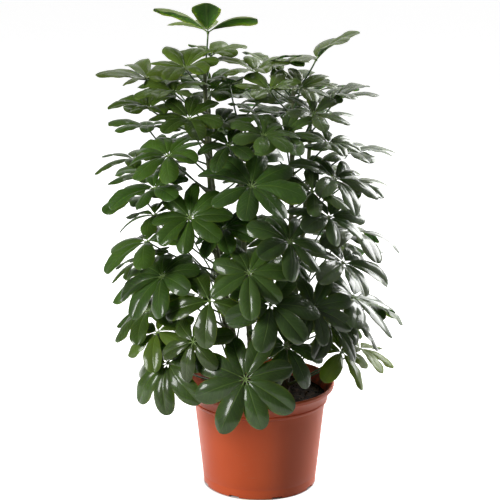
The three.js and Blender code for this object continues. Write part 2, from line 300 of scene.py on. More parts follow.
@dataclass(frozen=True)
class LeafFace:
    """The waxy upper side of a leaflet: deep green, a pale rib and faint side veins."""

    deep: Triple = (0.0095, 0.0235, 0.0035)
    fresh: Triple = (0.055, 0.126, 0.015)
    lime: Triple = (0.21, 0.28, 0.024)
    rib: Triple = (0.12, 0.20, 0.035)
    # Painted sheen: a grey that stands in for light reflected off the right-hand leaves.
    bloom: Triple = (0.135, 0.145, 0.12)
    edge_share: float = 0.10
    vein_share: float = 0.16
    rib_share: float = 0.4
    relief: float = 0.5 * MM

    def dress(self) -> bpy.types.Material:
        """Builds the material.

        Returns:
            The finished material.
        """
        sheet = Sheet("leaf_face")
        along, aside = sheet.mark("along"), sheet.mark("aside").absolute()
        patches = sheet.grain(38.0, 3.0).ramp(0.35, 0.68)
        green = sheet.mix(0.8 * sheet.mark("tint") + 0.2 * patches, self.deep, self.fresh)
        edge = aside.ramp(0.88, 1.0) * self.edge_share
        # Yellow-green: a pale edge and young and yellowing leaves, plus a painted glow where light shines
        # through outer and backlit leaves.
        green = sheet.mix(edge + sheet.mark("lime"), green, self.lime)
        # Painted sheen: a grey wash that stands in for the reflection of the light on the right.
        green = sheet.mix(sheet.mark("bloom"), green, self.bloom)
        veins = side_veins(along, aside, 0.1) * aside.ramp(0.05, 0.25) * aside.ramp(0.95, 0.6)
        green = sheet.mix(veins * self.vein_share, green, self.rib)
        rib_width = along.ramp(0.0, 1.0, 0.11, 0.025)
        rib = (aside / rib_width).ramp(0.35, 1.0, 1.0, 0.0) * along.ramp(0.8, 1.0, 1.0, 0.2)
        colour = sheet.mix(rib * self.rib_share, green, self.rib)
        sheet.bump(0.5 - 0.35 * veins - 0.5 * rib + 0.12 * sheet.grain(420.0, 2.0), self.relief)
        waxy = sheet.grain(60.0, 3.0).ramp(0.3, 0.7, 0.35, 0.47)
        return sheet.finish(
            base_color=colour, roughness=waxy, specular_ior_level=0.12, coat_weight=sheet.mark("gloss"),
            coat_roughness=0.12, **LEAF_FLESH,
        )


@dataclass(frozen=True)
class LeafBack:
    """The paler, duller underside of a leaflet with its standing rib."""

    dull: Triple = (0.052, 0.108, 0.032)
    pale: Triple = (0.115, 0.18, 0.055)
    rib: Triple = (0.2, 0.3, 0.09)
    relief: float = 0.3 * MM

    def dress(self) -> bpy.types.Material:
        """Builds the material.

        Returns:
            The finished material.
        """
        sheet = Sheet("leaf_back")
        along, aside = sheet.mark("along"), sheet.mark("aside").absolute()
        green = sheet.mix(sheet.mark("tint") * 0.6 + sheet.grain(45.0) * 0.4, self.dull, self.pale)
        veins = side_veins(along, aside, 0.12) * aside.ramp(0.05, 0.3)
        rib = aside.ramp(0.03, 0.12, 1.0, 0.0)
        colour = sheet.mix(rib * 0.7 + veins * 0.22, green, self.rib)
        sheet.bump(veins * 0.6 + 0.2 * sheet.grain(600.0, 2.0), self.relief)
        return sheet.finish(base_color=colour, roughness=0.55, specular_ior_level=0.3, **LEAF_FLESH)


@dataclass(frozen=True)
class StalkSkin:
    """Smooth green leaf stalks, olive at the foot, that pale towards the hub."""

    deep: Triple = (0.045, 0.10, 0.022)
    pale: Triple = (0.19, 0.29, 0.075)
    olive: Triple = (0.12, 0.13, 0.045)
    relief: float = 0.2 * MM

    def dress(self) -> bpy.types.Material:
        """Builds the material.

        Returns:
            The finished material.
        """
        sheet = Sheet("stalk_skin")
        along = sheet.mark("along")
        streaks = sheet.grain(260.0, 3.0, 0.15)
        green = sheet.mix(along.ramp(0.72, 1.0), self.deep, self.pale)
        green = sheet.mix(along.ramp(0.0, 0.22, 0.8, 0.0), green, self.olive)
        colour = sheet.mix(streaks.ramp(0.5, 0.75) * 0.35, green, self.pale)
        sheet.bump(streaks, self.relief)
        return sheet.finish(base_color=colour, roughness=streaks.ramp(0.3, 0.7, 0.34, 0.48))


@dataclass(frozen=True)
class StemBark:
    """Grey-brown bark low down that turns olive green towards the tip, with pale corky dots."""

    wood: Triple = (0.17, 0.15, 0.092)
    dark: Triple = (0.066, 0.060, 0.038)
    olive: Triple = (0.14, 0.175, 0.065)
    cork: Triple = (0.27, 0.23, 0.16)
    relief: float = 0.6 * MM

    def dress(self) -> bpy.types.Material:
        """Builds the material.

        Returns:
            The finished material.
        """
        sheet = Sheet("stem_bark")
        scar = sheet.mark("scar")
        fibres = sheet.grain(210.0, 5.0, 0.18)
        bark = sheet.mix(fibres.ramp(0.38, 0.66), self.dark, self.wood)
        bark = sheet.mix((sheet.mark("along") + 0.25 * fibres).ramp(0.1, 0.5) * 0.9, bark, self.olive)
        cell = sheet.node("ShaderNodeTexVoronoi", {}, {"Vector": sheet.place(), "Scale": 330.0}, "Distance")
        dots = cell.ramp(0.12, 0.24, 1.0, 0.0)
        bark = sheet.mix(dots * 0.5, bark, self.cork)
        colour = sheet.mix(scar * 0.7, bark, self.dark)
        sheet.bump(fibres * 0.8 + dots * 0.3 - scar * 0.5, self.relief)
        return sheet.finish(base_color=colour, roughness=fibres.ramp(0.3, 0.7, 0.6, 0.8))


@dataclass(frozen=True)
class PotPlastic:
    """Moulded terracotta-coloured plastic: satin, faintly streaked, a little scuffed, dusty inside, and
    darkened in the drain slots with painted shade.
    """

    clay: Triple = (0.58, 0.082, 0.017)
    warm: Triple = (0.66, 0.104, 0.024)
    chalk: Triple = (0.50, 0.20, 0.10)
    # Peat brown: dust inside the pot, and painted shade on the faces of the drain slots.
    peat: Triple = (0.05, 0.025, 0.014)
    relief: float = 0.05 * MM

    def dress(self) -> bpy.types.Material:
        """Builds the material.

        Returns:
            The finished material.
        """
        sheet = Sheet("pot_plastic")
        flow = sheet.grain(9.0, 3.0, 0.35)
        plastic = sheet.mix(flow.ramp(0.35, 0.65), self.clay, self.warm)
        plastic = sheet.mix(sheet.grain(900.0, 2.0).ramp(0.62, 0.8) * 0.18, plastic, self.chalk)
        scuff = sheet.grain(70.0, 6.0, 4.0).ramp(0.62, 0.72)
        plastic = sheet.mix(scuff * 0.16, plastic, self.chalk)
        # Peat-brown dust inside the pot. On the drain slots' faces the same colour is painted shade.
        dust_and_shade = sheet.grain(55.0, 5.0).ramp(0.38, 0.66) * sheet.mark("inner")
        colour = sheet.mix(dust_and_shade * 0.75, plastic, self.peat)
        sheet.bump(sheet.grain(1500.0, 2.0) * 0.7 + flow * 0.3, self.relief)
        rough = flow.ramp(0.3, 0.7, 0.4, 0.5) + 0.12 * scuff
        return sheet.finish(base_color=colour, roughness=rough, specular_ior_level=0.28)


@dataclass(frozen=True)
class Peat:
    """Damp dark potting peat with lighter brown fibres."""

    black: Triple = (0.0065, 0.005, 0.004)
    brown: Triple = (0.048, 0.030, 0.019)
    fibre: Triple = (0.16, 0.105, 0.06)
    relief: float = 1.6 * MM

    def dress(self) -> bpy.types.Material:
        """Builds the material.

        Returns:
            The finished material.
        """
        sheet = Sheet("peat")
        clod, speck = sheet.grain(160.0, 8.0), sheet.grain(700.0, 4.0)
        colour = sheet.mix(clod.ramp(0.4, 0.7), self.black, self.brown)
        colour = sheet.mix(speck.ramp(0.6, 0.72) * 0.55, colour, self.fibre)
        colour = sheet.mix(sheet.mark("chip"), colour, self.fibre)
        sheet.bump(clod * 0.6 + speck * 0.4, self.relief)
        damp = clod.ramp(0.3, 0.7, 0.82, 0.98)
        return sheet.finish(base_color=colour, roughness=damp, specular_ior_level=0.12)


@dataclass(frozen=True)
class PaleFloor:
    """The plain pale studio paper: it glows evenly, but not where the pot shades it."""

    paint: Triple = (0.86, 0.86, 0.86)
    haze: Triple = (0.82, 0.82, 0.82)
    glow: float = 0.75
    shaded: float = 0.079
    soft: float = 0.002

    def dress(self) -> bpy.types.Material:
        """Builds the material.

        Returns:
            The finished material.
        """
        sheet = Sheet("pale_paper")
        colour = sheet.mix(sheet.grain(1.5, 2.0) * 0.1, self.paint, self.haze)
        reach = sheet.vector("LENGTH", "Value", sheet.place())
        glow = sheet.mix(reach.ramp(self.shaded, self.shaded + self.soft), (0.0, 0.0, 0.0), (1.0, 1.0, 1.0))
        return sheet.finish(
            base_color=colour, roughness=0.9, emission_color=glow, emission_strength=self.glow
        )


# ---- Mesh drafting ----


class Skin(Enum):
    """Which finish a face takes."""

    FACE = LeafFace()
    BACK = LeafBack()
    STALK = StalkSkin()
    BARK = StemBark()
    POT = PotPlastic()
    PEAT = Peat()


@cache
def material_of(skin: Skin) -> bpy.types.Material:
    """The material of a finish, built once."""
    return skin.value.dress()


Level = Callable[[float, float], float]


@dataclass
class Draft:
    """A mesh being built: points with the numbers that they carry, and faces with their finish."""

    marks: tuple[str, ...]
    points: list[Vector] = field(default_factory=list)
    values: list[tuple[float, ...]] = field(default_factory=list)
    faces: list[tuple[int, ...]] = field(default_factory=list)
    skins: list[Skin] = field(default_factory=list)
    sharp: set[tuple[int, int]] = field(default_factory=set)

    def point(self, place: Vector, *values: float) -> int:
        """Adds a point.

        Args:
            place: Where it is.
            *values: The numbers that it carries, in the order of marks.

        Returns:
            Its number.
        """
        self.points.append(place)
        self.values.append(values)
        return len(self.points) - 1

    def face(self, corners: Iterable[int], skin: Skin) -> None:
        """Adds a face, counter-clockwise from outside. A corner that comes twice is kept once."""
        self.faces.append(tuple(dict.fromkeys(corners)))
        self.skins.append(skin)

    def ring(self, radius: float, level: Level, sides: int, mark: float) -> list[int]:
        """Adds a ring of points about the pot's axis, or one point where its radius is 0."""
        across = [(radius * math.cos(a), radius * math.sin(a)) for a in turns(sides if radius else 1)]
        return [self.point(Vector((x, y, level(x, y))), mark) for x, y in across]

    def loft(self, rings: Sequence[Sequence[int]], skin: Skin) -> None:
        """Joins rings of points, each counter-clockwise about the way that they run.

        Args:
            rings: Rings of point numbers, with one point in a ring that closes an end.
            skin: The finish.
        """
        for ring, following in zip(rings, rings[1:]):
            sides = max(len(ring), len(following))
            for i in range(sides):
                j = (i + 1) % sides
                if len(ring) == 1:
                    self.face((ring[0], following[j], following[i]), skin)
                elif len(following) == 1:
                    self.face((ring[i], ring[j], following[0]), skin)
                else:
                    self.face((ring[i], ring[j], following[j], following[i]), skin)

    def piece(self, name: str) -> bpy.types.Object:
        """Makes the object, with the material of each finish that its faces take.

        Args:
            name: The piece's name.

        Returns:
            The new object, in the scene.
        """
        mesh = bpy.data.meshes.new(name)
        mesh.from_pydata(self.points, [], self.faces)
        used = [skin for skin in Skin if skin in self.skins]
        for skin in used:
            mesh.materials.append(material_of(skin))
        mesh.polygons.foreach_set("material_index", [used.index(skin) for skin in self.skins])
        mesh.polygons.foreach_set("use_smooth", [True] * len(mesh.polygons))
        for i, mark in enumerate(self.marks):
            layer = mesh.attributes.new(mark, "FLOAT", "POINT")
            layer.data.foreach_set("value", [values[i] for values in self.values])
        for edge in mesh.edges:
            if tuple(sorted(edge.vertices)) in self.sharp:
                edge.use_edge_sharp = True
        mesh.validate()
        return add_thing(name, mesh)


def settle(piece: bpy.types.Object, node: str) -> None:
    """Puts a piece in the place of a CAD node.

    Args:
        piece: The finished piece.
        node: The node that it stands for.
    """
    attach(piece, "root")
    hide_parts(node)
    log.info("%s stands for %s: %d faces", piece.name, node, len(piece.data.polygons))


def cross_axes(direction: Vector, hint: Vector) -> tuple[Vector, Vector]:
    """Two unit axes across a direction.

    Args:
        direction: The unit direction.
        hint: A vector that the first axis leans towards.

    Returns:
        The first axis, and the second, which is direction x first.
    """
    parallel = 1e-6
    first = hint - direction * hint.dot(direction)
    if first.length < parallel:
        first = direction.orthogonal()
    first.normalize()
    return first, direction.cross(first)


def tube(
    draft: Draft,
    path: Callable[[float], Vector],
    radius: Callable[[float], float],
    stops: Sequence[float],
    sides: int,
    skin: Skin,
    values: Callable[[float], tuple[float, ...]],
) -> None:
    """Adds a closed round tube whose ends close to a point.

    Args:
        draft: The mesh to add to.
        path: The middle of the tube at 0 to 1.
        radius: Its radius at 0 to 1.
        stops: Where its rings are, from 0 to 1.
        sides: Points in a ring.
        skin: The finish.
        values: The numbers that its points carry at 0 to 1.
    """
    step = 0.01
    rings = [[draft.point(path(stops[0]), *values(stops[0]))]]
    first = None
    for stop in stops[1:-1]:
        ahead = (path(min(stop + step, 1.0)) - path(max(stop - step, 0.0))).normalized()
        first, second = cross_axes(ahead, first or UP.cross(ahead))
        spokes = [first * math.cos(turn) + second * math.sin(turn) for turn in turns(sides)]
        middle, reach = path(stop), radius(stop)
        rings.append([draft.point(middle + spoke * reach, *values(stop)) for spoke in spokes])
    rings.append([draft.point(path(stops[-1]), *values(stops[-1]))])
    draft.loft(rings, skin)


# ---- Reading the leaves off the frame ----


@dataclass(frozen=True)
class Leaflet:
    """One leaflet's line: it leaves the hub along `way` and arches as rise*s - droop*s*s."""

    way: Vector
    aside: Vector
    face: Vector
    length: float
    rise: float
    droop: float
    half_width: float


@dataclass(frozen=True)
class Leaf:
    """A palmate leaf: its hub, the way that it faces, its leaflets, and its stalk's foot and middle."""

    hub: Vector
    face: Vector
    leaflets: tuple[Leaflet, ...]
    stalk: tuple[Vector, Vector]


@dataclass
class LeafReader:
    """Finds the leaves in a CAD node by how its points are joined.

    A hub's crown is joined to each corner of a small ring and to the rib of each leaflet, so it has
    twice as many neighbours as the leaf has leaflets. The waist of a leaflet lies level with the
    point on its rib, at a known share of its length.
    """

    node: str
    ring_reach: float = 4.2 * MM
    crown_reach: float = 3.72 * MM
    crown_play: float = 0.1 * MM
    fewest: int = 5
    waist: float = 0.46
    level_play: float = 1.5 * MM
    waist_off: float = 3 * MM
    past_rib: float = 1.3
    weld_reach: float = 0.001 * MM
    points: list[Vector] = field(default_factory=list)
    near: list[set[int]] = field(default_factory=list)

    def weld(self) -> None:
        """Joins the node's points that lie on each other and lists each one's neighbours."""
        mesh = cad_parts[self.node].data
        welded: dict[tuple[int, ...], int] = {}
        numbers = []
        for vertex in mesh.vertices:
            key = tuple(round(c / self.weld_reach) for c in vertex.co)
            if key not in welded:
                welded[key] = len(self.points)
                self.points.append(vertex.co.copy())
                self.near.append(set())
            numbers.append(welded[key])
        for polygon in mesh.polygons:
            corners = [numbers[i] for i in polygon.vertices]
            for a, b in zip(corners, corners[1:] + corners[:1]):
                self.near[a].add(b)
                self.near[b].add(a)

    def average(self, numbers: Iterable[int]) -> Vector:
        """The middle of some points."""
        places = [self.points[i] for i in numbers]
        return sum(places, Vector()) / len(places)

    def leaflet(self, rib: int, hub: Vector, face: Vector) -> tuple[Leaflet, set[int]]:
        """Reads one leaflet.

        Args:
            rib: The point on the leaflet's rib that is joined to the hub's crown.
            hub: The middle of the hub's ring.
            face: The leaf's unit normal.

        Returns:
            The leaflet, and the points of its blade.
        """
        out = self.points[rib] - hub
        out -= face * out.dot(face)
        way = out.normalized()
        aside = face.cross(way)

        def reach(number: int) -> float:
            """How far a point is along the leaflet."""
            return (self.points[number] - hub).dot(way)

        def off(number: int) -> float:
            """How far a point is to the side."""
            return abs((self.points[number] - hub).dot(aside))

        def level(number: int) -> bool:
            """Whether a point lies as far along as the one on the rib."""
            return abs(reach(number) - out.length) < self.level_play

        beyond = [i for i in self.near[rib] if reach(i) > out.length * self.past_rib]
        upper_rib = min(beyond, key=off)
        tips = sorted(self.near[upper_rib], key=reach)[-2:]
        waists = [i for i in self.near[rib] if level(i) and off(i) > self.waist_off]
        tip = self.average(tips) - hub
        middle = self.average(waists) - hub
        length = tip.dot(way)
        high, share = tip.dot(face) / length, self.waist
        rise = (middle.dot(face) / length - high * share * share) / (share - share * share)
        line = Leaflet(way, aside, face, length, rise, rise - high, max(off(i) for i in beyond))
        return line, {rib, upper_rib, *tips, *waists, *beyond}

    def stalk(self, hub: Vector, blade: set[int]) -> Optional[tuple[Vector, Vector]]:
        """Walks down a leaf's stalk from the hub to where it meets the stem.

        Args:
            hub: The middle of the hub.
            blade: The points of the leaf's blade, which are passed over.

        Returns:
            The stalk's foot and middle, or None where there is none.
        """
        top = {i for i, place in enumerate(self.points) if (place - hub).length < self.ring_reach}
        middle = {j for i in top for j in self.near[i]} - top - blade
        foot = {j for i in middle for j in self.near[i]} - top - middle - blade
        return (self.average(foot), self.average(middle)) if foot else None

    def leaves(self) -> list[Leaf]:
        """Reads every leaf of the node.

        Returns:
            The leaves, in the order of their crowns in the mesh.
        """
        self.weld()
        found = []
        for crown, near in enumerate(self.near):
            place = self.points[crown]
            away = {i: (self.points[i] - place).length for i in near}
            ring = [i for i in near if away[i] < self.ring_reach]
            ribs = [i for i in near if away[i] > 3 * self.ring_reach]
            even = all(abs(away[i] - self.crown_reach) < self.crown_play for i in ring)
            if len(ring) < self.fewest or len(ring) != len(ribs) or len(near) != 2 * len(ring) or not even:
                continue
            hub = self.average(ring)
            face = (place - hub).normalized()
            read = [self.leaflet(rib, hub, face) for rib in ribs]
            blade = {crown, *ring}.union(*(points for _, points in read))
            stalk = self.stalk(hub, blade)
            if stalk is not None:
                found.append(Leaf(hub, face, tuple(line for line, _ in read), stalk))
        return found


# ---- Leafy stems ----


@dataclass(frozen=True)
class Look:
    """How fresh, yellow-green and glossy a leaflet is, and how much painted grey sheen it takes, each 0 to
    1.
    """

    shade: float
    lime: float
    gloss: float
    bloom: float


@dataclass(frozen=True)
class Crown:
    """How age and light show on a leaf by its place. Each span is where a change starts and ends.

    Each of backlit_spots is a leaf seen from the front, across and up, and how much yellow-green painted
    backlit glow it takes.
    """

    backlit_spots: tuple[Vector, ...] = ()
    # How much random painted glow the stem's leaves take: a yellow-green lightening that stands in for light
    # falling on them.
    painted_glow: float = 0.0
    gloss: float = 0.4
    spot_reach: float = 0.012
    young: tuple[float, float] = (0.46, 0.66)
    # Outer leaves take a painted yellow-green glow, which stands in for light shining through them from
    # behind.
    backlit_outer: tuple[float, float] = (0.10, 0.18)
    rightmost: tuple[float, float] = (0.125, 0.145)
    # Leaves further right take more painted grey sheen, which stands in for the reflection of the right-hand
    # light.
    painted_sheen_span: tuple[float, float] = (-0.06, 0.11)

    def look(self, hub: Vector, dice: random.Random) -> Look:
        """Draws the look of a leaf.

        Args:
            hub: Its hub.
            dice: The seeded source of variation.

        Returns:
            The look that its leaflets share.
        """
        shade = dice.random() ** 1.5
        # Backlit leaves take a painted yellow-green glow of light shining through them, with less gloss and
        # less painted sheen.
        pale = sum(spot.z for spot in self.backlit_spots if (hub.xz - spot.xy).length < self.spot_reach)
        young = share_of(hub.z, *self.young)
        # Painted glow: random for each stem, and more on the outer leaves, where light shines through from
        # behind.
        backlit_outer = share_of(math.hypot(hub.x, hub.y), *self.backlit_outer)
        painted_glow = self.painted_glow * dice.random() + 0.14 * backlit_outer * dice.random()
        gloss = self.gloss * (1 - 0.8 * young) * (1 - 0.65 * share_of(hub.x, *self.rightmost)) * (1 - pale)
        # Painted sheen: grey that grows towards the right and stands in for the reflection of the right-hand
        # light.
        bloom = 0.03 + 0.35 * share_of(hub.x, *self.painted_sheen_span) ** 1.5
        bloom *= dice.uniform(0.6, 1.2) * max(1 - 2 * pale, 0.0)
        return Look(shade, pale + 0.6 * young ** 2.2 + painted_glow, gloss, bloom)


@dataclass(frozen=True)
class Warp:
    """How one leaflet leaves its flat line: folds, a wave, a twist and a bend to the side."""

    vee: float
    wave: float
    phase: float
    twist: float
    sway: float
    fold: float
    ripples: float = 5.2
    cup: float = 0.1

    @classmethod
    def draw(cls, dice: random.Random) -> "Warp":
        """Draws one in the order of the fields.

        Args:
            dice: Where the chances come from.

        Returns:
            The warp of one leaflet.
        """
        return cls(
            dice.uniform(-0.34, 0.3), dice.uniform(0.3, 1.3) * MM, dice.uniform(0, 2 * math.pi),
            dice.uniform(-0.42, 0.42), dice.uniform(-0.06, 0.06), dice.uniform(0.16, 0.46),
        )

    def lift(self, share: float, column: float, full: float, half: float) -> float:
        """How far a point of the blade stands off the leaflet's line.

        Args:
            share: How far along the blade it is, 0 to 1.
            column: How far to the side, -1 to 1.
            full: How wide the blade is there, 0 to 1.
            half: The same as a half width in metres.

        Returns:
            The lift.
        """
        size = abs(column)
        folds = half * ((self.fold + self.vee) * size - (self.fold + self.cup) * size * size)
        ripple = math.sin(self.ripples * math.pi * share + self.phase + column)
        return folds + self.wave * full * size * size * ripple + half * column * self.twist * share


@dataclass(frozen=True)
class BladeCutter:
    """Shapes one leaflet's blade: a narrow foot, widest past the middle, a round blunt tip."""

    bare: float = 0.065
    foot_power: float = 0.8
    tip_power: float = 0.45
    spread: float = 1.01
    thickness: float = 0.55 * MM
    rib_depth: float = 0.55 * MM
    raised: float = 0.6 * MM
    edge_thinning: float = 0.35
    edge_drawn: float = 0.05
    rows: int = 13
    row_power: float = 1.15
    columns: tuple[float, ...] = (-1.0, -0.72, -0.38, -0.1, 0.0, 0.1, 0.38, 0.72, 1.0)

    def width(self, share: float) -> float:
        """Shapes the blade's outline, which is widest past its middle.

        Args:
            share: How far along the blade, 0 at its foot and 1 at its tip.

        Returns:
            The width, 1 at the widest.
        """
        peak = self.foot_power / (self.foot_power + self.tip_power)
        full = peak ** self.foot_power * (1 - peak) ** self.tip_power
        return share ** self.foot_power * max(1 - share, 0.0) ** self.tip_power / full

    def place(self, leaf: Leaf, line: Leaflet, along: float, offset: float, lift: float) -> Vector:
        """Finds a point of a leaflet.

        Args:
            leaf: The leaf.
            line: The leaflet's line.
            along: How far along its length, 0 at the hub and 1 at the tip.
            offset: How far to the side.
            lift: How far off its line.

        Returns:
            The point.
        """
        height = line.length * (line.rise * along - line.droop * along * along)
        slope = line.rise - 2 * line.droop * along
        normal = (line.face - line.way * slope).normalized()
        flat = leaf.hub + line.way * (line.length * along) + line.face * height
        return flat + line.aside * offset + normal * lift

    def cut(self, draft: Draft, leaf: Leaf, line: Leaflet, dice: random.Random, look: Look) -> None:
        """Adds one leaflet's blade, whose foot and tip each close to a point.

        Args:
            draft: The mesh to add to.
            leaf: The leaf.
            line: The leaflet's line.
            dice: The seeded source of variation.
            look: How the leaflet's surface looks.
        """
        tint = 0.55 * look.shade + 0.45 * dice.random()
        warp = Warp.draw(dice)
        top, under = [], []
        for row in range(self.rows + 1):
            share = min(math.sin(math.pi / 2 * row / self.rows) ** self.row_power, 1.0)
            along = self.bare + (1 - self.bare) * share
            full = self.width(share)
            half = self.spread * line.half_width * full
            bend = line.length * warp.sway * along * along
            end = row in (0, self.rows)
            over, below = [], []
            for column in (0.0,) if end else self.columns:
                size = abs(column)
                lift = warp.lift(share, column, full, half) + self.raised
                offset = half * column * (1 - self.edge_drawn * size) + bend
                marks = (share, column, tint, look.lime, look.gloss, look.bloom)
                over.append(draft.point(self.place(leaf, line, along, offset, lift), *marks))
                if end or size == 1.0:
                    below.append(over[-1])
                else:
                    rib = self.rib_depth * (1 - share) if column == 0.0 else 0.0
                    drop = self.thickness * (1 - self.edge_thinning * size) + rib
                    below.append(draft.point(self.place(leaf, line, along, offset, lift - drop), *marks))
            copies = len(self.columns) // len(over)
            top.append(over * copies)
            under.append(below * copies)
        for a, b, c, d in zip(top, top[1:], under, under[1:]):
            for i in range(len(self.columns) - 1):
                draft.face((a[i], b[i], b[i + 1], a[i + 1]), Skin.FACE)
                draft.face((c[i], c[i + 1], d[i + 1], d[i]), Skin.BACK)
            draft.sharp |= {tuple(sorted((a[i], b[i]))) for i in (0, -1)}


def inward(points: Sequence[Vector], margin: float = 0.1 * MM) -> Vector:
    """The move that brings some points inside the CAD model's box.

    Args:
        points: The points of one leaf.
        margin: How far inside.

    Returns:
        The move, zero along each axis on which they already are inside.
    """
    move = Vector()
    for axis in range(3):
        low, high = CAD_BOX[0][axis] + margin, CAD_BOX[1][axis] - margin
        under = min(point[axis] for point in points)
        over = max(point[axis] for point in points)
        move[axis] = max(low - under, 0.0) - max(over - high, 0.0)
    return move


@dataclass(frozen=True)
class LeafStalk:
    """A leaf's stalk with its swollen foot and its knob, and the short stalk of each leaflet."""

    slim: float = 1.12 * MM
    taper: float = 0.25 * MM
    foot_swell: float = 1.5 * MM
    foot_reach: float = 0.09
    knob_swell: float = 1.25 * MM
    knob_at: float = 0.985
    knob_reach: float = 0.02
    knob_top: float = 1.3 * MM
    sides: int = 7
    stops: tuple[float, ...] = (
        0.0, 0.02, 0.05, 0.09, 0.14, 0.22, 0.34, 0.46, 0.58, 0.7, 0.82, 0.91, 0.955, 0.975, 0.99, 1.0,
    )
    short_reach: float = 0.10
    short_sides: int = 5
    short_stops: tuple[float, ...] = (0.0, 0.04, 0.3, 0.55, 0.8, 0.97, 1.0)

    def radius(self, t: float) -> float:
        """Swells the stalk at its foot and at the hub.

        Args:
            t: How far along the stalk, 0 at its foot and 1 at the hub.

        Returns:
            The radius.
        """
        swollen = self.foot_swell * math.exp(-((t / self.foot_reach) ** 2))
        knob = self.knob_swell * math.exp(-(((t - self.knob_at) / self.knob_reach) ** 2))
        return self.slim + self.taper * (1 - t) + swollen + knob

    def short_radius(self, t: float) -> float:
        """Slim, and fading out along the blade's rib."""
        return (0.85 - 0.45 * t * t) * MM

    def build(self, draft: Draft, start: Vector, leaf: Leaf, cutter: BladeCutter) -> None:
        """Adds the stalks of one leaf.

        Args:
            draft: The mesh to add to.
            start: The middle of the stem where the stalk leaves it.
            leaf: The leaf.
            cutter: The shape of its blades.
        """
        end = leaf.hub + leaf.face * self.knob_top
        control = 2 * leaf.stalk[1] - (start + end) / 2

        def path(t: float) -> Vector:
            """The stalk's bow."""
            return start * (1 - t) ** 2 + control * (2 * t * (1 - t)) + end * t * t

        tube(draft, path, self.radius, self.stops, self.sides, Skin.STALK, lambda t: (0.9 * t,))
        for line in leaf.leaflets:

            def short_path(t: float) -> Vector:
                """From inside the knob to under the blade's foot."""
                along = t * (cutter.bare + self.short_reach)
                return cutter.place(leaf, line, along, 0.0, (0.5 - 0.45 * t) * MM)

            stops, sides = self.short_stops, self.short_sides
            tube(draft, short_path, self.short_radius, stops, sides, Skin.STALK, lambda t: (1.0,))


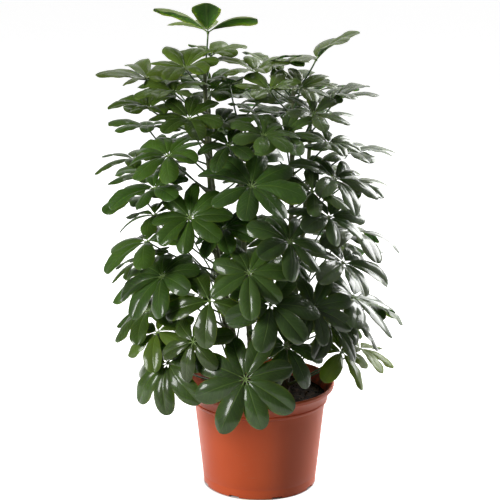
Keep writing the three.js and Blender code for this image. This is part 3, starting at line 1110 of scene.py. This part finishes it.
@dataclass
class LeafyStem:
    """One woody stem with its leaf stalks and palmate leaves."""

    side: str
    foot: tuple[float, float]
    tip: tuple[float, float]
    top: float
    seed: int
    crown: Crown = Crown()
    cutter: BladeCutter = BladeCutter()
    soil_line: float = 0.134
    buried: float = 0.062
    foot_radius: float = 4.9 * MM
    tip_radius: float = 2.4 * MM
    bud: float = 9 * MM
    old_scars: int = 7
    scar_gap: float = 17 * MM
    first_scar: float = 12 * MM
    joint_reach: float = 2.6 * MM
    joint_swell: float = 0.75 * MM
    wander: float = 0.8 * MM
    rings: int = 190
    sides: int = 14

    @property
    def node(self) -> str:
        """The CAD node that the stem stands for."""
        return f"stem_{self.side}"

    def at(self, height: float) -> Vector:
        """Finds the middle of the stem: upright in the soil, then leaning out.

        Args:
            height: The height above the floor.

        Returns:
            The middle at that height.
        """
        lean = math.sin(share_of(height, self.soil_line, self.top) * math.pi / 2)
        x, y = (a + (b - a) * lean for a, b in zip(self.foot, self.tip))
        return Vector((x, y, height))

    def blades(self, leaves: list[Leaf]) -> list[Leaf]:
        """Builds every leaflet of the stem as one piece.

        Args:
            leaves: The leaves as read.

        Returns:
            The leaves, each moved by what keeps it in the plant's box.
        """
        kept = []
        dice = random.Random(self.seed)
        draft = Draft(("along", "aside", "tint", "lime", "gloss", "bloom"))
        yellowing, yellow = 0.015, 0.3
        for leaf in leaves:
            look = self.crown.look(leaf.hub, dice)
            first = len(draft.points)
            for line in leaf.leaflets:
                lime = look.lime + (yellow if dice.random() < yellowing else 0.0)
                self.cutter.cut(draft, leaf, line, dice, replace(look, lime=lime))
            move = inward(draft.points[first:])
            for number in range(first, len(draft.points)):
                draft.points[number] += move
            kept.append(replace(leaf, hub=leaf.hub + move))
        settle(draft.piece(f"leaflets_{self.side}"), self.node)
        return kept

    def stalks(self, leaves: list[Leaf]) -> None:
        """Builds every leaf stalk of the stem as one piece.

        Args:
            leaves: The leaves, as the blades were moved.
        """
        draft = Draft(("along",))
        for leaf in leaves:
            LeafStalk().build(draft, self.at(leaf.stalk[0].z), leaf, self.cutter)
        settle(draft.piece(f"stalks_{self.side}"), self.node)

    def trunk(self, leaves: list[Leaf]) -> None:
        """Builds the woody stem with a swollen scarred joint under each leaf stalk and a tip bud.

        Args:
            leaves: The leaves, for where their stalks leave the stem.
        """
        low = self.soil_line - self.buried
        span = self.top + self.bud - low
        joints = [leaf.stalk[0].z for leaf in leaves]
        joints += [self.soil_line + self.first_scar + self.scar_gap * i for i in range(self.old_scars)]

        def swell(height: float) -> float:
            """How near a height is to a joint, 0 to 1."""
            gap = min(abs(height - joint) for joint in joints)
            return math.exp(-((gap / self.joint_reach) ** 2))

        def path(t: float) -> Vector:
            """Runs up the stem with a slight wander.

            Args:
                t: How far up the stem, 0 to 1.

            Returns:
                The middle of the stem.
            """
            height = low + span * t
            sway = [noise.noise(Vector((self.seed * 3.7, layer, height * 14.0))) for layer in (0.0, 50.0)]
            middle = self.at(min(height, self.top)) + Vector((*sway, 0.0)) * self.wander
            return Vector((middle.x, middle.y, height))

        def radius(t: float) -> float:
            """Tapers the stem, swells it at each joint and draws it in over the tip bud.

            Args:
                t: How far up the stem, 0 to 1.

            Returns:
                The radius.
            """
            height = low + span * t
            share = share_of(height, self.soil_line, self.top)
            base = self.foot_radius + (self.tip_radius - self.foot_radius) * share
            beyond = max(height - self.top, 0.0) / self.bud
            return (base + self.joint_swell * swell(height)) * (1 - beyond ** 1.6 * 0.9)

        def marks(t: float) -> tuple[float, float]:
            """How far up the bark is, and how scarred."""
            height = low + span * t
            return (height - self.soil_line) / (self.top - self.soil_line), swell(height - 1.5 * MM)

        draft = Draft(("along", "scar"))
        stops = [i / self.rings for i in range(self.rings + 1)]
        tube(draft, path, radius, stops, self.sides, Skin.BARK, marks)
        settle(draft.piece(f"trunk_{self.side}"), self.node)

    def build(self) -> None:
        """Reads the stem's leaves and builds its three pieces."""
        leaves = LeafReader(self.node).leaves()
        leaflets = sum(len(leaf.leaflets) for leaf in leaves)
        log.info("%s has %d leaves, %d leaflets", self.node, len(leaves), leaflets)
        leaves = self.blades(leaves)
        self.stalks(leaves)
        self.trunk(leaves)


# ---- Pot and soil ----

Section = tuple[tuple[float, float], ...]


@dataclass(frozen=True)
class NurseryPot:
    """A round tapered pot with a flared rim, a rolled lip, a step and drain slots.

    The sections are in millimetres, out and up: the band's from its outer face and foot, the
    flare's and the throat's from the rim's outer edge and top. The rows are heights in millimetres.
    """

    base_radius: float = 0.079
    body_radius: float = 0.092
    band_radius: float = 0.0955
    band_foot: float = 0.121
    underside: float = 0.055
    wall: float = 2 * MM
    floor: float = 3 * MM
    corner: float = 2.2 * MM
    lip: float = 2.3 * MM
    rows: tuple[float, ...] = (6, 12.5, 13.2, 14.0, 14.7, 25, 45, 65, 85, 100, 112)
    grooved: tuple[float, ...] = (13.2, 14.0)
    groove: float = 0.22 * MM
    band: Section = (
        (-1.2, 0.8), (-0.2, 2.0), (0.0, 3.4), (0.15, 4.6),
        (-0.95, 5.3), (-0.85, 6.1), (0.55, 7.0), (1.2, 10.5),
    )
    flare: Section = ((-6.0, -11.5), (-3.6, -8.4), (-2.6, -7.2), (-0.9, -6.2))
    throat: Section = ((-4.6, -2.0), (-5.2, -5.0), (-6.4, -9.5))
    sides: int = 144
    drains: int = 8
    first_drain: float = math.radians(-72)
    drain_half: tuple[float, float, float] = (6 * MM, 7.5 * MM, 3.4 * MM)
    sharp_from: float = math.radians(38)

    def wall_radius(self, height: float) -> float:
        """The outer radius below the band."""
        return self.base_radius + (self.body_radius - self.base_radius) * height / self.band_foot

    def profile(self) -> list[tuple[float, float, float]]:
        """The section from the middle of the underside round to the middle of the floor.

        Returns:
            Radius, height and whether the point is inside, 0 or 1.
        """
        rim, _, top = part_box("pot")[1]
        step, corner, lip = self.band_foot, self.corner, self.lip
        outside = [(0.0, 0.0), (self.underside, 0.0), (self.base_radius - corner, 0.0)]
        for turn in range(1, 6):
            angle = math.pi / 2 * turn / 5
            foot = self.wall_radius(2 * MM) - corner
            outside.append((foot + corner * math.sin(angle), corner * (1 - math.cos(angle))))
        for height in self.rows:
            groove = self.groove if height in self.grooved else 0.0
            outside.append((self.wall_radius(height * MM) - groove, height * MM))
        outside.append((self.wall_radius(step - 2.6 * MM), step - 2.6 * MM))
        outside.append((self.wall_radius(step) + 0.2 * MM, step - 0.4 * MM))
        outside += [(self.band_radius + out * MM, step + up * MM) for out, up in self.band]
        outside += [(rim + out * MM, top + up * MM) for out, up in self.flare]
        for turn in range(9):
            angle = -0.25 * math.pi + 0.9 * math.pi * turn / 8
            outside.append((rim - lip + lip * math.cos(angle), top - lip + lip * math.sin(angle)))
        inside = [(rim + out * MM, top + up * MM) for out, up in self.throat]
        inside.append((self.band_radius - self.wall + 0.4 * MM, step + 9.5 * MM))
        inside.append((self.band_radius - self.wall, step + 5.0 * MM))
        inside.append((self.wall_radius(step) - self.wall, step - 2.0 * MM))
        inside += [(self.wall_radius(height) - self.wall, height) for height in (60 * MM, self.floor)]
        inside.append((0.0, self.floor))
        return [(*place, 0.0) for place in outside] + [(*place, 1.0) for place in inside]

    def slots(self) -> bpy.types.Object:
        """Builds the blocks that cut the drain slots.

        Returns:
            One object with a closed block for each slot.
        """
        draft = Draft(("inner",))
        deep, wide, tall = self.drain_half
        outline = ((-deep, -wide), (deep, -wide), (deep, wide), (-deep, wide))
        for turn in turns(self.drains):
            spin = Matrix.Rotation(self.first_drain + turn, 3, "Z")
            low, high = (
                # Each block carries 1 on this mark, so the slots' cut faces are painted dark as shade.
                [draft.point(spin @ Vector((self.base_radius + x, y, z)), 1.0) for x, y in outline]
                for z in (-tall, tall)
            )
            draft.face(reversed(low), Skin.POT)
            draft.face(high, Skin.POT)
            draft.loft((low, high), Skin.POT)
        return draft.piece("drain_cutters")

    def build(self) -> None:
        """Turns the pot's section round its axis and cuts the drain slots."""
        draft = Draft(("inner",))
        draft.loft([
            draft.ring(radius, lambda x, y: height, self.sides, inner)
            for radius, height, inner in self.profile()
        ], Skin.POT)
        pot = draft.piece("pot_shell")
        cutters = self.slots()
        cut = pot.modifiers.new("drains", "BOOLEAN")
        cut.operation = "DIFFERENCE"
        cut.solver = "EXACT"
        cut.object = cutters
        depsgraph = bpy.context.evaluated_depsgraph_get()
        mesh = bpy.data.meshes.new_from_object(pot.evaluated_get(depsgraph))
        pot.modifiers.clear()
        pot.data = mesh
        bpy.data.objects.remove(cutters)
        mesh.set_sharp_from_angle(angle=self.sharp_from)
        settle(pot, "pot")


def crumb_form() -> tuple[list[Vector], list[tuple[int, int, int]]]:
    """The twenty-sided form that every crumb starts as.

    Returns:
        Its unit corners, and its faces counter-clockwise from outside.
    """
    golden = (1 + math.sqrt(5)) / 2
    flat = [(a, b) for b in (golden, -golden) for a in (-1.0, 1.0)]
    places = [(a, b, 0.0) for a, b in flat] + [(0.0, a, b) for a, b in flat] + [(b, 0.0, a) for a, b in flat]
    corners = [Vector(place).normalized() for place in places]
    longest_edge = 1.1
    faces = []
    for i, j, k in combinations(range(len(corners)), 3):
        a, b, c = corners[i], corners[j], corners[k]
        if max((a - b).length, (b - c).length, (c - a).length) < longest_edge:
            faces.append((i, j, k) if a.cross(b).dot(c) > 0 else (i, k, j))
    return corners, faces


@dataclass
class PottingSoil:
    """Peat that fills the pot, with an uneven crumbly top.

    Each of lumps is a height in millimetres, the cells in a metre and the layer of noise.
    """

    rings: int = 46
    sides: int = 132
    clearance: float = 0.4 * MM
    wall_rows: tuple[float, ...] = (0.06, 0.1, 0.118)
    sunk: float = 3.2 * MM
    fall: float = 1.5 * MM
    ridge: float = 1.2 * MM
    lumps: tuple[tuple[float, float, float], ...] = ((2.2, 60, 1.5), (1.3, 210, 4.0), (0.6, 620, 9.0))
    crumbs: int = 900
    chips: int = 70
    seed: int = 5
    low: Vector = field(default_factory=lambda: Vector(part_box("soil")[0]))
    high: Vector = field(default_factory=lambda: Vector(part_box("soil")[1]))

    def level(self, x: float, y: float) -> float:
        """The height of the soil's top at a place: a low ridge round it, with lumps and grit.

        Args:
            x: How far to the right.
            y: How far back.

        Returns:
            The height.
        """
        reach = math.hypot(x, y) / self.high.x
        base = self.high.z - self.sunk - self.fall * reach ** 4 + self.ridge * math.sin(math.pi * reach)
        rough = 0.0
        for height, scale, layer in self.lumps:
            rough += height * noise.noise(Vector((x * scale, y * scale, layer)))
        return base + rough * MM * (1 - 0.6 * reach ** 6)

    def bed(self) -> None:
        """Builds the body of soil with its uneven top."""
        pot = NurseryPot()
        draft = Draft(("chip",))
        rings = [draft.ring(0.0, lambda x, y: self.low.z, 1, 0.0)]
        for height in (self.low.z, *self.wall_rows):
            radius = pot.wall_radius(height) - pot.wall - self.clearance
            rings.append(draft.ring(radius, lambda x, y: height, self.sides, 0.0))
        edge = self.high.x - self.clearance
        for step in range(self.rings):
            rings.append(draft.ring(edge * (1 - step / self.rings), self.level, self.sides, 0.0))
        rings.append(draft.ring(0.0, self.level, 1, 0.0))
        draft.loft(rings, Skin.PEAT)
        settle(draft.piece("soil_bed"), "soil")

    def loose(self) -> None:
        """Scatters crumbs of peat and slim bark chips, each half sunk in the bed."""
        dice = random.Random(self.seed)
        draft = Draft(("chip",))
        corners, sides = crumb_form()
        for i in range(self.crumbs + self.chips):
            reach = (self.high.x - 4 * MM) * math.sqrt(dice.random())
            turn = dice.uniform(0, 2 * math.pi)
            x, y = reach * math.cos(turn), reach * math.sin(turn)
            chip = i >= self.crumbs
            size = dice.uniform(0.6, 1.0) * MM if chip else 0.5 * MM + 1.7 * MM * dice.random() ** 3
            long = dice.uniform(3.0, 6.0) if chip else dice.uniform(0.8, 1.5)
            tilts = [dice.uniform(low, high) for low, high in ((-0.3, 0.3), (-0.3, 0.3), (0, 6.28))]
            spin = Euler(tilts).to_matrix()
            centre = Vector((x, y, self.level(x, y) + 0.25 * size))
            tone = dice.uniform(0.25, 0.9) if chip else 0.35 * dice.random() ** 3
            numbers = []
            for corner in corners:
                rough = corner * size * dice.uniform(0.7, 1.2)
                stretched = Vector((rough.x * long, rough.y, rough.z * (0.6 if chip else 0.85)))
                numbers.append(draft.point(centre + spin @ stretched, tone))
            for side in sides:
                draft.face((numbers[corner] for corner in side), Skin.PEAT)
        settle(draft.piece("soil_crumbs"), "soil")

    def build(self) -> None:
        """Builds the bed and what lies loose on it."""
        self.bed()
        self.loose()


# ---- Studio ----


@dataclass(frozen=True)
class Studio:
    """A pale floor, soft light from the front left and a bright panel behind on the right."""

    eye: Triple = (0.0, -2.4, 0.974)
    pitch: float = 14.83
    pan: float = 0.328
    focal_pixels: float = 1795.0
    frame_pixels: float = 500.0
    sensor: float = 36.0
    daylight: float = 0.13
    backlight: float = 1.0
    glow_from: Triple = (0.42, 0.9, 0.1)
    floor_half: float = 8.0

    def camera(self) -> None:
        """Puts the camera where the photograph was taken from."""
        data = bpy.data.cameras.new("camera")
        data.sensor_fit = "HORIZONTAL"
        data.sensor_width = self.sensor
        data.lens = self.focal_pixels / self.frame_pixels * self.sensor
        data.clip_end = 100.0
        camera = add_thing("camera", data)
        camera.location = self.eye
        camera.rotation_euler = (math.radians(90 - self.pitch), 0.0, math.radians(self.pan))
        bpy.context.scene.camera = camera

    def panel(self, name: str, place: Triple, aim: Triple, size: tuple[float, float], watts: float) -> None:
        """Hangs a soft rectangular light.

        Args:
            name: Its name.
            place: Where it hangs.
            aim: The point that it faces.
            size: Its width and height.
            watts: Its power.
        """
        data = bpy.data.lights.new(name, "AREA")
        data.shape = "RECTANGLE"
        data.size, data.size_y = size
        data.energy = watts
        light = add_thing(name, data)
        light.location = place
        light.rotation_euler = (Vector(aim) - Vector(place)).to_track_quat("-Z", "Y").to_euler()

    def floor(self) -> None:
        """Lays the floor, which is seen but lights nothing."""
        half = self.floor_half
        corners = [(x, y, 0) for x, y in ((-half, -half), (half, -half), (half, half), (-half, half))]
        mesh = bpy.data.meshes.new("floor")
        mesh.from_pydata(corners, [], [(0, 1, 2, 3)])
        mesh.materials.append(PaleFloor().dress())
        floor = add_thing("floor", mesh)
        floor.visible_diffuse = False

    def air(self) -> None:
        """Lights the air: dim all round, bright behind the plant, and seen as plain white."""
        world = bpy.data.worlds.new("studio_air")
        world.use_nodes = True
        sheet = Sheet.of_tree(world.node_tree)
        facing = sheet.node("ShaderNodeTexCoord", {}, {}, "Generated")
        behind = sheet.vector("DOT_PRODUCT", "Value", facing, self.glow_from)
        glow = behind.ramp(0.5, 0.88, self.daylight, self.backlight)
        seen = sheet.node("ShaderNodeLightPath", {}, {}, "Is Camera Ray")
        background = world.node_tree.nodes["Background"]
        background.inputs["Color"].default_value = (1.0, 1.0, 1.0, 1.0)
        sheet.feed(background.inputs["Strength"], seen + (1.0 - seen) * glow)
        bpy.context.scene.world = world

    def build(self) -> None:
        """Sets up the camera, the lights, the air and the floor."""
        self.camera()
        middle = (0.0, 0.0, 0.38)
        self.panel("key_left", (-2.1, -1.3, 1.3), middle, (0.8, 1.0), 64)
        self.panel("panel_right", (1.25, 1.15, 1.35), (0.05, 0.0, 0.5), (1.3, 1.4), 54)
        self.panel("top_back", (0.0, 1.0, 2.3), middle, (1.2, 0.6), 10)
        self.air()
        self.floor()
        bpy.context.scene.view_settings.view_transform = "Standard"


def main() -> None:
    """Builds the pot, the soil, the stems and the studio."""
    logging.basicConfig(level=logging.INFO, format="%(message)s")
    # Each spot is a leaf given a painted yellow-green glow of light shining through it from behind.
    left_crown = Crown((Vector((-0.137, 0.245, 0.18)), Vector((-0.122, 0.211, 0.04))))
    right_crown = Crown((Vector((0.111, 0.216, 0.45)), Vector((0.139, 0.198, 0.6))), 0.10, 0.75)
    Studio().build()
    NurseryPot().build()
    PottingSoil().build()
    for stem in (
        LeafyStem("left", (-0.034, -0.014), (-0.074, -0.012), 0.590, 11, left_crown),
        LeafyStem("centre", (-0.006, -0.044), (-0.026, -0.052), 0.520, 23),
        LeafyStem("right", (0.036, -0.016), (0.044, -0.020), 0.560, 37, right_crown),
        LeafyStem("back_left", (-0.026, 0.034), (-0.072, 0.070), 0.545, 41),
        LeafyStem("back_right", (0.032, 0.032), (0.070, 0.066), 0.535, 59, Crown((), 0.15, 0.5)),
    ):
        stem.build()
    bpy.context.view_layer.update()


if __name__ == "__main__":
    main()
